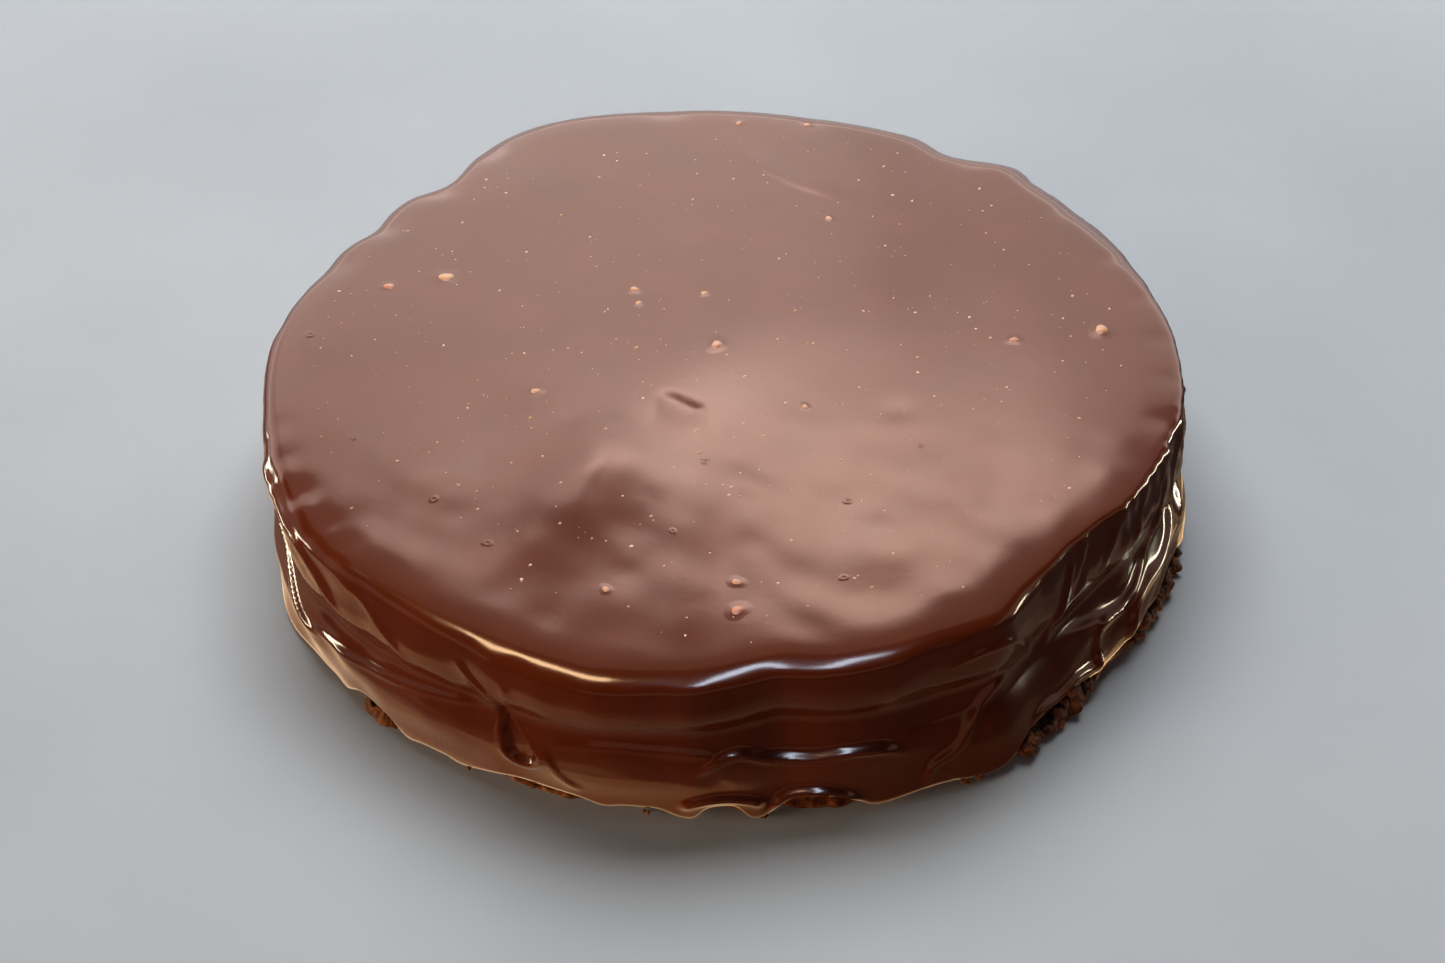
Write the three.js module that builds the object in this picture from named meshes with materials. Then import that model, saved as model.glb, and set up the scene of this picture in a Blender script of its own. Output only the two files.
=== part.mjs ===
// A whole round chocolate torte, about 27 cm across and 5 cm high: one sponge layer under a poured
// chocolate glaze that has set in swells, folds and drips, and that broke away from the foot in places.
// Millimetres, +Z up. It stands on z = 0, with the origin under the middle of its bounding box.
// Places on the wall are given as an azimuth in degrees (0 is +X, 90 is +Y, -90 is the front)
// and a height above the floor.

import * as THREE from 'three';

// Driving dimensions.
const HEIGHT = 50; // floor to the top of the glaze
const RADIUS = 134.5; // middle to the outside of the glaze, away from its swells
const COAT = 3.5; // thickness of the glaze
const GAP = 0.4; // free space between the sponge and the glaze
const RIM = 8; // rounding of the top edge
const LIP = 1.2; // height of the glaze's lower edge where it hangs lowest
const FOOT = 22; // height below which the wall flares out, and moves up with a raised lower edge
const SKIRT = 4.5; // height of the sponge that sticks out under a raised edge
const SEGMENTS = 144;

// Swells and pinches of the outline: azimuth, half width in degrees and how far out the wall moves.
const OUTLINE = [
  { at: 112, wide: 14, out: 9.5 },
  { at: 91, wide: 12, out: 2.6 },
  { at: 130, wide: 5, out: -5 },
  { at: 145, wide: 5, out: -3.4 },
  { at: 156, wide: 5, out: -2 },
  { at: 52, wide: 4.5, out: -4 },
  { at: 43, wide: 4, out: 2.6 },
  { at: -14, wide: 14, out: 1.8 },
  { at: -33, wide: 6, out: 1.4 },
  { at: -59, wide: 5, out: 2.6 },
  { at: -85, wide: 5.5, out: -3.6 },
  { at: -105, wide: 7, out: 2.2 },
  { at: -134, wide: 12, out: 1.6 },
  { at: -172, wide: 10, out: -1.2 },
];

// How far the foot flares, round the cake.
const FOOT_FLARE = 1;
const FOOT_SPREADS = [
  { at: -158, wide: 7, out: 3.6 },
  { at: -120, wide: 6, out: 1.4 },
  { at: -86, wide: 9, out: 5 },
  { at: -60, wide: 22, out: 7.8 },
  { at: -22, wide: 16, out: 4.5 },
  { at: 60, wide: 30, out: 1.8 },
  { at: 150, wide: 20, out: 1.6 },
];

// Where the wall leans in towards its top, and how far.
const LEANS = [
  { at: -44, wide: 15, inward: 6 },
  { at: -131, wide: 11, inward: 4.5 },
];

// The wall's section: a full band, a crease, and a second full band below it.
const UPPER_BAND = { z: 37, high: 6, out: 0.9 };
const CREASE = { z: 28, high: 3.2, out: -1.7 };
const LOWER_BAND = { z: 17, high: 7.5, out: 1.3 };
const CREASE_SWAY = 2.2; // how far the crease wanders up and down
const CREASE_WAVES = 3;

// Ridges where glaze ran down the wall and set: from one place to another, with half width and height.
const RIDGES = [
  { from: [-118, 34], to: [-114, 19], wide: 4.5, out: 1.8 },
  { from: [-68, 3], to: [-62, 16], wide: 4, out: 1.6 },
  { from: [-62, 16], to: [-57, 26], wide: 4, out: 1.6 },
  { from: [-57, 26], to: [-42, 23], wide: 3.5, out: 1.3 },
  { from: [-42, 23], to: [-33, 14], wide: 4, out: 1.4 },
  { from: [-62, 42], to: [-54, 29], wide: 3.5, out: 1.5 },
  { from: [-33, 26], to: [-21, 38], wide: 4.5, out: 1.4 },
  { from: [-152, 44], to: [-132, 24], wide: 4, out: 1.2 },
  { from: [-178, 30], to: [-146, 15], wide: 4.5, out: 1.2 },
  { from: [6, 38], to: [12, 10], wide: 5, out: 1.6 },
  { from: [36, 36], to: [30, 8], wide: 5, out: 1.5 },
  { from: [62, 40], to: [70, 16], wide: 5, out: 1.4 },
  { from: [98, 32], to: [90, 6], wide: 5, out: 1.6 },
  { from: [124, 38], to: [118, 14], wide: 5, out: 1.5 },
  { from: [158, 34], to: [150, 8], wide: 5, out: 1.4 },
];

// A small drop that set just under the top edge.
const DROP = { at: -7, z: 40, wide: 3, out: 1.5 };

// Places where the glaze's lower edge broke away and shows the sponge.
const BREAKS = [
  { at: -104, wide: 2.4, up: 2 },
  { at: -90, wide: 4.5, up: 4 },
  { at: -82, wide: 3.6, up: 7 },
  { at: -51, wide: 8, up: 6.5 },
  { at: -38, wide: 6, up: 3.5 },
  { at: -27, wide: 9, up: 7.5 },
  { at: 24, wide: 6, up: 4 },
  { at: 76, wide: 5, up: 5 },
  { at: 136, wide: 6, up: 4.5 },
  { at: 172, wide: 4, up: 3 },
];

// Where the sponge sticks out under the broken edge as a rough skirt.
const SKIRTS = [
  { at: -49, wide: 8, out: 3 },
  { at: -27, wide: 9, out: 2.8 },
];

// Low swells and hollows of the top: middle, half width and height.
const TOP_SWELLS = [
  { x: -62, y: -58, wide: 22, up: 0.8 },
  { x: -18, y: -78, wide: 20, up: -0.9 },
  { x: 22, y: -96, wide: 18, up: 0.7 },
  { x: 62, y: -74, wide: 24, up: -0.6 },
  { x: 10, y: -52, wide: 22, up: 0.6 },
  { x: -96, y: -36, wide: 14, up: -0.8 },
  { x: -64, y: 88, wide: 16, up: 0.7 },
  { x: 80, y: 72, wide: 24, up: 0.5 },
];

// The narrow dent near the middle of the top.
const DENT = { from: [-12, -20], to: [-3, -24.5], wide: 3, deep: 1.4 };

function turnBetween(a, b) {
  return THREE.MathUtils.euclideanModulo(a - b + 180, 360) - 180;
}

function bell(distance, halfWidth) {
  return Math.exp(-((distance / halfWidth) ** 2));
}

function sumRoundWall(list, azimuth, amount) {
  return list.reduce((sum, item) => sum + item[amount] * bell(turnBetween(azimuth, item.at), item.wide), 0);
}

function arcLength(degrees) {
  return THREE.MathUtils.degToRad(degrees) * RADIUS;
}

function distanceToStretch(x, y, [startX, startY], [endX, endY]) {
  const alongX = endX - startX;
  const alongY = endY - startY;
  const part = ((x - startX) * alongX + (y - startY) * alongY) / (alongX ** 2 + alongY ** 2);
  const nearest = THREE.MathUtils.clamp(part, 0, 1);
  return Math.hypot(x - startX - nearest * alongX, y - startY - nearest * alongY);
}

function ridge(azimuth, z, { from, to, wide, out }) {
  const start = [arcLength(turnBetween(from[0], azimuth)), from[1]];
  const end = [start[0] + arcLength(turnBetween(to[0], from[0])), to[1]];
  return out * bell(distanceToStretch(0, z, start, end), wide);
}

function band(z, { z: middle, high, out }, shift) {
  return out * bell(z - middle - shift, high);
}

// How far the sponge and the glaze both move out at a place on the wall.
function swell(azimuth, z) {
  const flare = FOOT_FLARE + sumRoundWall(FOOT_SPREADS, azimuth, 'out');
  const lean = sumRoundWall(LEANS, azimuth, 'inward');
  return sumRoundWall(OUTLINE, azimuth, 'out') + flare * Math.max(0, 1 - z / FOOT) - (lean * z) / HEIGHT;
}

// What only the outside of the glaze has on its wall.
function wallRelief(azimuth, z) {
  const sway = CREASE_SWAY * Math.sin(CREASE_WAVES * THREE.MathUtils.degToRad(azimuth));
  const bands = band(z, UPPER_BAND, sway) + band(z, CREASE, sway) + band(z, LOWER_BAND, sway);
  const ridges = RIDGES.reduce((sum, item) => sum + ridge(azimuth, z, item), 0);
  const dropAway = Math.hypot(arcLength(turnBetween(azimuth, DROP.at)), z - DROP.z);
  return bands + ridges + DROP.out * bell(dropAway, DROP.wide);
}

// What only the outside of the glaze has on its top.
function topRelief(x, y) {
  const swells = TOP_SWELLS.reduce((sum, s) => sum + s.up * bell(Math.hypot(x - s.x, y - s.y), s.wide), 0);
  return swells - DENT.deep * bell(distanceToStretch(x, y, DENT.from, DENT.to), DENT.wide);
}

// Moves one point of the plain turned shape to its place on the uneven cake.
function unevenPoint(x, y, z) {
  const radius = Math.hypot(x, y);
  const azimuth = THREE.MathUtils.radToDeg(Math.atan2(y, x));
  const nearWall = THREE.MathUtils.smoothstep(radius, 0, RADIUS - RIM - COAT);
  const outside = THREE.MathUtils.smoothstep(radius, RADIUS - COAT, RADIUS);
  const onTop = THREE.MathUtils.smoothstep(z, HEIGHT - COAT, HEIGHT);
  const moved = radius + nearWall * swell(azimuth, z) + outside * wallRelief(azimuth, z);
  const scale = radius > 0 ? moved / radius : 1;
  return [x * scale, y * scale, z + onTop * topRelief(x, y)];
}

function lipRise(azimuth) {
  return sumRoundWall(BREAKS, azimuth, 'up');
}

function raised(azimuth, z) {
  return z + lipRise(azimuth) * THREE.MathUtils.clamp((FOOT - z) / (FOOT - LIP), 0, 1);
}

function skirtOut(azimuth, z) {
  const underRaisedLip = THREE.MathUtils.smoothstep(lipRise(azimuth), SKIRT - 0.5, SKIRT + 1);
  return z < SKIRT ? underRaisedLip * sumRoundWall(SKIRTS, azimuth, 'out') : 0;
}

// Turns a profile of [radius, height] points about the upright axis and moves every vertex by place.
function turned(profile, place) {
  const points = profile.map(([radius, z]) => new THREE.Vector2(radius, z));
  const geometry = new THREE.LatheGeometry(points, SEGMENTS);
  geometry.rotateX(Math.PI / 2);
  const position = geometry.attributes.position;
  for (let i = 0; i < position.count; i += 1) {
    position.setXYZ(i, ...place(position.getX(i), position.getY(i), position.getZ(i)));
  }
  geometry.computeVertexNormals();
  return geometry;
}

// Points of a quarter round from the wall up to the top, without its two ends.
function quarterRound(outerRadius, top, rounding, steps) {
  const points = [];
  for (let step = 1; step < steps; step += 1) {
    const angle = (step / steps) * (Math.PI / 2);
    const inward = rounding * (1 - Math.cos(angle));
    points.push([outerRadius - inward, top - rounding + rounding * Math.sin(angle)]);
  }
  return points;
}

// Points evenly spaced on the straight line from one point to another, with both ends.
function straight([startRadius, startZ], [endRadius, endZ], steps) {
  const points = [];
  for (let step = 0; step <= steps; step += 1) {
    const part = step / steps;
    points.push([startRadius + part * (endRadius - startRadius), startZ + part * (endZ - startZ)]);
  }
  return points;
}

const INNER_RADIUS = RADIUS - COAT;
const INNER_RIM = RIM - COAT;
const WALL_STEPS = 9;
const TOP_STEPS = 7;
const RIM_STEPS = 4;
const INNER_RIM_STEPS = 2;
const BACKED_HEIGHTS = [FOOT / 2, FOOT, HEIGHT - RIM]; // rings shared by the sponge's wall and the glaze's inside

// The glaze: a cap from its lower edge up the outside, over the top, and back down the inside.
function glazeGeometry() {
  const outside = [
    ...straight([RADIUS, LIP + 0.8], [RADIUS, HEIGHT - RIM], WALL_STEPS),
    ...quarterRound(RADIUS, HEIGHT, RIM, RIM_STEPS),
    ...straight([RADIUS - RIM, HEIGHT], [0, HEIGHT], TOP_STEPS),
  ];
  const innerTop = HEIGHT - COAT;
  const inside = [
    [RADIUS - COAT / 2, LIP],
    [INNER_RADIUS, LIP + 0.6],
    ...BACKED_HEIGHTS.map((z) => [INNER_RADIUS, z]),
    ...quarterRound(INNER_RADIUS, innerTop, INNER_RIM, INNER_RIM_STEPS),
    [RADIUS - RIM, innerTop],
    [0, innerTop],
  ];
  const profile = [...inside.reverse(), ...outside];
  return turned(profile, (x, y, z) => {
    const azimuth = THREE.MathUtils.radToDeg(Math.atan2(y, x));
    return unevenPoint(x, y, raised(azimuth, z));
  });
}

// The sponge: a solid disc that backs the glaze all over and rests flat on the floor.
function spongeGeometry() {
  const radius = INNER_RADIUS - GAP;
  const top = HEIGHT - COAT - GAP;
  const profile = [
    [0, 0],
    [radius, 0],
    [radius, SKIRT - 0.8],
    [radius, SKIRT],
    ...BACKED_HEIGHTS.map((z) => [radius, z]),
    ...quarterRound(radius, top, INNER_RIM, INNER_RIM_STEPS),
    [RADIUS - RIM, top],
    [0, top],
  ];
  return turned(profile, (x, y, z) => {
    const azimuth = THREE.MathUtils.radToDeg(Math.atan2(y, x));
    const along = Math.hypot(x, y);
    const out = along > 0 ? 1 + skirtOut(azimuth, z) / along : 1;
    return unevenPoint(x * out, y * out, z);
  });
}

function material(color, roughness) {
  return new THREE.MeshStandardMaterial({ color, roughness, metalness: 0 });
}

function piece(name, geometry, itsMaterial) {
  const mesh = new THREE.Mesh(geometry, itsMaterial);
  mesh.name = name;
  return mesh;
}

// Moves the cake so that the origin is under the middle of its bounding box.
function centre(group) {
  const middle = new THREE.Box3().setFromObject(group).getCenter(new THREE.Vector3());
  group.position.set(-middle.x, -middle.y, 0);
}

const torte = new THREE.Group();
torte.add(piece('sponge', spongeGeometry(), material(0x4a2114, 0.9)));
torte.add(piece('glaze', glazeGeometry(), material(0x4b2015, 0.25)));
centre(torte);

export default torte;
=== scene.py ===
"""Looks of the round chocolate torte: its poured glaze, the crumb at its foot and the blisters on its top.

Shapes are worked out in millimetres about the cake's own upright axis and turned into metres at the end.
A place on the wall is an azimuth in degrees (0 is +X, 90 is +Y, -90 is the front) and a height.
"""

import math

import bmesh
import bpy
import numpy as np
from mathutils import Matrix, Quaternion, Vector


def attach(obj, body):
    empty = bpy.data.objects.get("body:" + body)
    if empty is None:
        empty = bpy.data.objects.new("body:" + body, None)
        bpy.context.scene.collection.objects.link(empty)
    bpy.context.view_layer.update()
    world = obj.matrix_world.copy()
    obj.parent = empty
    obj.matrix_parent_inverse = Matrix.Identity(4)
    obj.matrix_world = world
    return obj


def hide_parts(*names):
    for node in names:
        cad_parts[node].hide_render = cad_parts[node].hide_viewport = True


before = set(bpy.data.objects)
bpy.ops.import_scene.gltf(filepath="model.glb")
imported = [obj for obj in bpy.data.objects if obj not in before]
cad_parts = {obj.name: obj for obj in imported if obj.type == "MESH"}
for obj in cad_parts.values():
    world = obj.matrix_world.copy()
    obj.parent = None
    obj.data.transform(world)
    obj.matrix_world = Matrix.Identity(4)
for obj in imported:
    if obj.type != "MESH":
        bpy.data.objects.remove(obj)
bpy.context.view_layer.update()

MM = 0.001
AXIS = np.array([-0.98, -1.95, 0.0])  # where the cake's upright axis stands in the frame

# Sizes that the solids have too.
HEIGHT = 50  # floor to the top of the glaze
RADIUS = 134.5  # middle to the outside of the glaze, away from its swells
COAT = 3.5  # thickness of the glaze
GAP = 0.4  # free space between the sponge and the glaze
RIM = 8  # rounding of the solids' top edge
LIP = 1.2  # height of the glaze's lower edge where it hangs lowest
FOOT = 22  # height below which the wall flares out and moves up with a raised lower edge
SKIRT = 4.5  # height of the sponge that sticks out under a raised edge
INNER_RADIUS = RADIUS - COAT
INNER_TOP = HEIGHT - COAT

# The rounding of the glaze's top edge: how far in from the wall it starts, and how far down the wall it ends.
RIM_ACROSS = 9
RIM_HIGH = 4.5
# Where it is narrower, and where it is squarer: azimuth, half width, how much.
TIGHT_RIMS = [(180, 34, 4.5), (0, 20, 4), (-36, 13, 4), (120, 60, 3)]
SQUARE_RIMS = [(-36, 26, 4), (-4, 14, 2)]

# The outline: azimuth, half width in degrees, how far out.
OUTLINE = [
    (112, 14, 9.5), (91, 12, 2.6), (130, 5, -5), (145, 5, -3.4), (156, 5, -2), (52, 4.5, -4),
    (43, 4, 2.6), (-14, 14, 1.8), (-33, 6, 1.4), (-59, 5, 2.6), (-85, 5.5, -3.6), (-105, 7, 2.2),
    (-134, 12, 1.6), (-172, 10, -1.2),
]
# Its small waves: how many go round the cake, height and phase.
SCALLOP_WAVES = [(19, 0.16, 0.4), (31, 0.12, 2.1), (47, 0.09, 4.4), (61, 0.06, 1.3)]
# Where the wall leans in towards its top: azimuth, half width, how far.
LEANS = [(-44, 15, 6), (-131, 11, 4.5)]
# How far the foot flares out all round, and where it spreads further: azimuth, half width, how far.
FOOT_FLARE = 1
FOOT_SPREADS = [
    (-158, 7, 3.6), (-120, 6, 1.4), (-86, 9, 5), (-60, 22, 7.8), (-22, 16, 4.5), (60, 30, 1.8),
    (150, 20, 1.6),
]

# The wall's section: middle height, half height, how far out. The crease between its bands sways up and down.
BANDS = [(38, 7.5, 0.9), (27.5, 4.6, -1.2), (16, 8.5, 1.2)]
CREASE_SWAY = 2.2
CREASE_WAVES = 3


# ---------------- small maths

RIPPLE_LENGTHS = (0.7, 1.4)  # the shortest and longest waves of a random field, as shares of its wavelength


def turn_between(a, b):
    """Degrees from azimuth b to azimuth a, the short way round."""
    return (np.asarray(a, float) - b + 180) % 360 - 180


def bell(distance, half_width):
    return np.exp(-(distance / half_width) ** 2)


def smoothstep(value, low, high):
    part = np.clip((value - low) / (high - low), 0, 1)
    return part * part * (3 - 2 * part)


def fade_ends(along, share):
    """1 along a line, falling to 0 over this share of its length at each end."""
    return smoothstep(along, 0, share) * smoothstep(1 - along, 0, share)


def sum_bells(azimuth, items):
    """The sum of bells round the cake, listed as azimuth, half width in degrees and amount."""
    return sum(amount * bell(turn_between(azimuth, at), wide) for at, wide, amount in items)


def arc_length(degrees):
    """Millimetres along the wall."""
    return np.radians(degrees) * RADIUS


def smooth_path(points, steps=6):
    """Points close together on one smooth curve through the given points."""
    given = np.array(points, float)
    ends = np.vstack([2 * given[0] - given[1], given, 2 * given[-1] - given[-2]])
    t = np.linspace(0, 1, steps, endpoint=False)[:, None]
    spans = []
    for a, b, c, d in zip(ends, ends[1:], ends[2:], ends[3:]):
        curve = 2 * b + (c - a) * t + (2 * a - 5 * b + 4 * c - d) * t ** 2 + (3 * b - a - 3 * c + d) * t ** 3
        spans.append(curve / 2)
    return np.vstack(spans + [given[-1:]])


def beside_path(x, y, path):
    """Each place's distance to the path, its side of it (left is positive), and how far along it lies."""
    nearest = np.full(x.shape, np.inf)
    left = np.zeros(x.shape)
    along = np.zeros(x.shape)
    for index, (start, end) in enumerate(zip(path, path[1:])):
        run = end - start
        part = np.clip(((x - start[0]) * run[0] + (y - start[1]) * run[1]) / (run @ run), 0, 1)
        dx = x - start[0] - part * run[0]
        dy = y - start[1] - part * run[1]
        distance = np.hypot(dx, dy)
        closer = distance < nearest
        nearest[closer] = distance[closer]
        left[closer] = (run[0] * dy - run[1] * dx)[closer]
        along[closer] = ((index + part) / (len(path) - 1))[closer]
    return nearest, left, along


def ripples(points, wavelength, seed, waves=16):
    """A smooth random field of about unit height over points in millimetres."""
    draw = np.random.default_rng(seed)
    directions = draw.normal(size=(waves, 3))
    directions /= np.linalg.norm(directions, axis=1)[:, None]
    lengths = wavelength * draw.uniform(*RIPPLE_LENGTHS, waves)
    phases = draw.uniform(0, 2 * math.pi, waves)
    turns = points @ (2 * math.pi * directions / lengths[:, None]).T
    return np.sin(turns + phases).sum(1) / math.sqrt(waves / 2)


# ---------------- relief of the wall

# Edges of the sheets of glaze that ran over each other. The steep side is to the left of the path's direction
# if steep is 1, and to its right if -1.
FOLDS = [
    # the right side: the big sheet, up its left edge and along its top
    dict(path=[(-69, 2), (-68.5, 8.8), (-65.3, 12.7), (-63.1, 18.9), (-60, 25.5), (-56.8, 26.8)],
         out=1.3, crisp=1.2, soft=9, steep=1),
    # the long edge that falls from the rim and runs back to the left
    dict(path=[(-22, 47), (-25, 40), (-27, 32), (-29.5, 23), (-34, 18.8), (-38, 18), (-42, 20), (-46, 22),
               (-52, 22.6)],
         out=1.5, crisp=1.0, soft=6, steep=-1),
    dict(path=[(-14, 40), (-18, 28), (-21, 20), (-26, 17), (-31, 17.6), (-35, 15.4), (-36.6, 9), (-37, 3)],
         out=1.5, crisp=1.0, soft=5, steep=-1),
    dict(path=[(-43.6, 4), (-42.8, 12), (-41.4, 18.2), (-38.4, 18.6), (-35.5, 16.4)],
         out=1.1, crisp=0.9, soft=3.5, steep=1),
    dict(path=[(-56, 9), (-53.4, 10.8), (-50.4, 10), (-47, 10.8), (-43.4, 9.3), (-41.6, 13)],
         out=1.3, crisp=0.9, soft=4, steep=1),
    # the hook above it and the thin runs beside the hook
    dict(path=[(-66, 38), (-62, 40.8), (-58, 40.2), (-55.6, 36), (-53.6, 29), (-52.6, 23.4)],
         out=0.9, crisp=1.0, soft=3.5, steep=1),
    dict(path=[(-50.8, 22), (-49, 28), (-47, 34.5), (-45.4, 41), (-44, 46)],
         out=0.9, crisp=0.9, soft=3, steep=1),
    dict(path=[(-49.4, 28.5), (-46.6, 32.4), (-44, 32.8), (-42.4, 37.5)],
         out=0.7, crisp=0.9, soft=2.5, steep=-1),
    dict(path=[(-58, 47.5), (-54, 46.2), (-50.5, 47.4)], out=0.5, crisp=1.2, soft=3, steep=1),
    dict(path=[(-34, 50), (-36, 45), (-38.4, 37), (-40, 29)], out=0.6, crisp=1.2, soft=3, steep=-1),
    dict(path=[(-28.4, 50), (-30.5, 45), (-32.6, 37), (-34, 28)], out=0.6, crisp=1.1, soft=3, steep=-1),
    dict(path=[(-15, 50), (-17, 47), (-20.4, 40), (-22.6, 31), (-24, 23)],
         out=0.9, crisp=1.0, soft=3, steep=-1),
    dict(path=[(-8, 40), (-13, 30), (-16, 22), (-20, 12)], out=1.0, crisp=1.1, soft=4, steep=-1),
    dict(path=[(-33, 10), (-28, 11.4), (-24, 12), (-18, 9)], out=1.0, crisp=1.0, soft=3, steep=1),
    dict(path=[(-41, 50), (-42, 46), (-43.5, 41), (-45.5, 36)], out=0.5, crisp=1.0, soft=2.5, steep=1),
    dict(path=[(-22, 50), (-23.5, 47), (-26.4, 41), (-28.5, 33)], out=0.5, crisp=1.0, soft=2.5, steep=-1),
    # the left side
    dict(path=[(-168, 45), (-160, 46.4), (-152, 45.4), (-147, 41.5), (-142, 34)],
         out=1.5, crisp=1.1, soft=5, steep=1),
    dict(path=[(-157, 43.5), (-150, 42), (-145.4, 37.5), (-140, 30)], out=0.8, crisp=1.0, soft=3, steep=1),
    dict(path=[(-141.5, 45), (-137.5, 43), (-133, 36), (-128.5, 27.5)], out=0.6, crisp=1.3, soft=4, steep=1),
    dict(path=[(-175, 27), (-164, 23), (-156, 18.4), (-151, 14.5), (-146, 14.4)],
         out=1.4, crisp=1.1, soft=6, steep=1),
    dict(path=[(-151, 15), (-145, 16.8), (-139, 18.8), (-132.5, 21.6), (-124, 25), (-119, 27)],
         out=1.2, crisp=1.1, soft=9, steep=1),
    # the run that ends in the teardrop
    dict(path=[(-122.6, 42), (-121, 37.6), (-119, 33.6), (-117.4, 27)], out=0.9, crisp=0.9, soft=4, steep=1),
    dict(path=[(-112.2, 22), (-111, 17), (-109.5, 12), (-107, 8)], out=0.8, crisp=1.0, soft=4, steep=1),
    # the front
    dict(path=[(-112, 22), (-105, 26.2), (-98.5, 25.2), (-94, 24.2), (-91.5, 22)],
         out=0.8, crisp=1.0, soft=8, steep=1),
    dict(path=[(-94.8, 17), (-92.6, 21.4), (-89.6, 23), (-86.2, 20), (-82, 19.2), (-77.6, 20.4),
               (-73.4, 19.2), (-70, 14)],
         out=2.3, crisp=0.9, soft=7, steep=1),
    dict(path=[(-97, 5), (-94.8, 8.3), (-92, 9.4), (-88.6, 8), (-86.8, 5.4)],
         out=1.8, crisp=0.85, soft=3, steep=1),
    dict(path=[(-87, 3), (-85.4, 7.6), (-83.4, 9.4), (-80.8, 9.6), (-78.4, 7.6), (-76, 3.5)],
         out=2.6, crisp=0.8, soft=1.6, steep=1),
]
FOLD_STEP = 0.55  # how much of a fold's height is the sheet's swelling behind its edge
FOLD_BEAD = 0.45  # and how much the narrow bead along the edge
FOLD_FADE = 0.2  # over this share of its length a fold fades at each end
FOLD_REACH = 3  # no fold is felt farther away than this many of its half widths
BEAD_WIDE = 1.1  # the bead's half width


def fold_height(azimuth, z, path, out, crisp, soft, steep):
    """The relief of one fold, a step with a bead along its edge."""
    middle = np.mean([place[0] for place in path])
    across = arc_length(turn_between(azimuth, middle))
    track = smooth_path([(arc_length(turn_between(at, middle)), up) for at, up in path])
    low = track.min(0) - FOLD_REACH * soft
    high = track.max(0) + FOLD_REACH * soft
    near = (across > low[0]) & (across < high[0]) & (z > low[1]) & (z < high[1])
    distance, left, along = beside_path(across[near], z[near], track)
    width = np.where(left * steep > 0, crisp, soft)
    shape = FOLD_STEP * bell(distance, width) + FOLD_BEAD * bell(distance, BEAD_WIDE)
    height = np.zeros(azimuth.shape)
    height[near] = out * shape * fade_ends(along, FOLD_FADE)
    return height


# The side that faces away: from which azimuth its folds stand, up to which, and how far apart.
BACK_FROM = 2
BACK_TO = 184
BACK_STEP = 13


def back_folds(seed=11):
    """Folds for the side that faces away, like those in front: at each place an upright one and a ledge."""
    draw = np.random.default_rng(seed)
    folds = []
    for at in range(BACK_FROM, BACK_TO, BACK_STEP):
        top = draw.uniform(36, 46)
        drift = draw.uniform(-5, 5)
        path = [(at, top), (at + drift, top - 10), (at + 1.6 * drift, top - 20)]
        path.append((at + drift, draw.uniform(5, 9)))
        folds.append(dict(path=path, out=draw.uniform(0.8, 1.6), crisp=draw.uniform(1.1, 1.6),
                          soft=draw.uniform(5, 10), steep=1 if draw.random() < 0.5 else -1))
        ledge = draw.uniform(20, 27)
        path = [(at - 6, ledge + 2), (at, ledge), (at + 7, ledge + draw.uniform(-3, 3))]
        folds.append(dict(path=path, out=draw.uniform(0.5, 1.1), crisp=1.3, soft=6, steep=1))
    return folds


# The teardrop's pocket: the ends of its middle line, the half widths of its round bottom and its narrow tip,
# the power by which it narrows, how far its tip fades upwards, and its depth.
TEAR_TOP = (-117.2, 29)
TEAR_BOTTOM = (-114.6, 17.5)
TEAR_WIDE = 4.8
TEAR_TIP_WIDE = 0.3
TEAR_NARROWING = 0.8
TEAR_TIP_HIGH = 1.5
TEAR_DEEP = 1.7
TEAR_SIDE = (0.7, 1.02)  # where its side starts to rise and ends, as shares of its half width
# The bead round it: its height, and its place and half width as such shares.
TEAR_BEAD = 0.75
TEAR_BEAD_AT = 1.12
TEAR_BEAD_WIDE = 0.2


def tear_relief(azimuth, z):
    """A pocket that is narrow at its top and round at its bottom, with a raised bead along its edge."""
    across = arc_length(turn_between(azimuth, TEAR_BOTTOM[0]))
    top_across = arc_length(turn_between(TEAR_TOP[0], TEAR_BOTTOM[0]))
    part = np.clip((z - TEAR_BOTTOM[1]) / (TEAR_TOP[1] - TEAR_BOTTOM[1]), 0, 1)
    half = TEAR_WIDE * (1 - part) ** TEAR_NARROWING + TEAR_TIP_WIDE
    aside = (across - part * top_across) / half
    below = np.minimum(z - TEAR_BOTTOM[1], 0) / TEAR_WIDE
    above = np.maximum(z - TEAR_TOP[1], 0) / TEAR_TIP_HIGH
    away = np.sqrt(aside ** 2 + below ** 2 + above ** 2)
    bead = TEAR_BEAD * bell(away - TEAR_BEAD_AT, TEAR_BEAD_WIDE)
    return bead - TEAR_DEEP * (1 - smoothstep(away, *TEAR_SIDE))


# Drops that ran down and set: azimuth, height, half width, half height and how far out.
DROPS = [
    (-8, 42.6, 1.5, 2.2, 1.2), (-116, 36.5, 1.2, 2.2, 0.5), (62, 24, 2.2, 4, 1.3), (143, 30, 2, 3.4, 1.2),
]


def drops_relief(azimuth, z):
    relief = 0
    for at, up, wide, high, out in DROPS:
        across = arc_length(turn_between(azimuth, at))
        relief = relief + out * bell(np.hypot(across / wide, (z - up) / high), 1)
    return relief


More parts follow.
